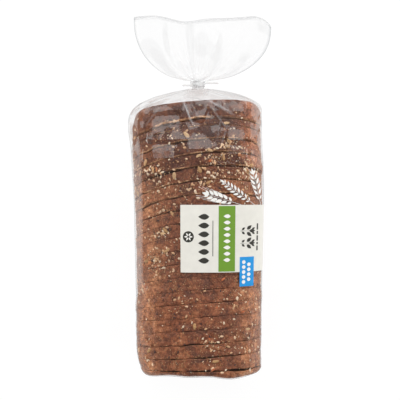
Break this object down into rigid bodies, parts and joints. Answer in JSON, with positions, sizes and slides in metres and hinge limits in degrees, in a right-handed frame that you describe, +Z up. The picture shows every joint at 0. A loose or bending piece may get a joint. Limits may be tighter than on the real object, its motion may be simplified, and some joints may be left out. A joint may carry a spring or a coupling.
{
  "type": "loaf in bread bag",
  "caption": "Sliced brown tin loaf with seeds on its crust, in a clear film bag tied at the neck, with a plain printed label.",
  "frame": {"origin": "middle of the underside of the whole object's box, on the surface it lies on", "axes": "+Z up through the top crust, +Y along the loaf towards the tied neck and the fanned mouth, +X towards the label's side"},
  "size_m": [0.1346, 0.3504, 0.1094],
  "materials": {
    "film": "clear glossy film over brown crust",
    "crust": "matte mid-brown crust",
    "crumb": "matte porous brown crumb",
    "seeds": "matte cream and green-brown seeds",
    "tie": "clear whitish plastic",
    "cream_print": "off-white print under gloss film",
    "green_print": "leaf green print under gloss film",
    "blue_print": "sky blue print under gloss film",
    "dark_print": "dark grey print under gloss film"
  },
  "bodies": {
    "root": {"bag": "film", "tie": "tie", "label_left": "cream_print", "label_band": "green_print", "label_right": "cream_print", "label_badge": "blue_print"}
  },
  "joints": []
}
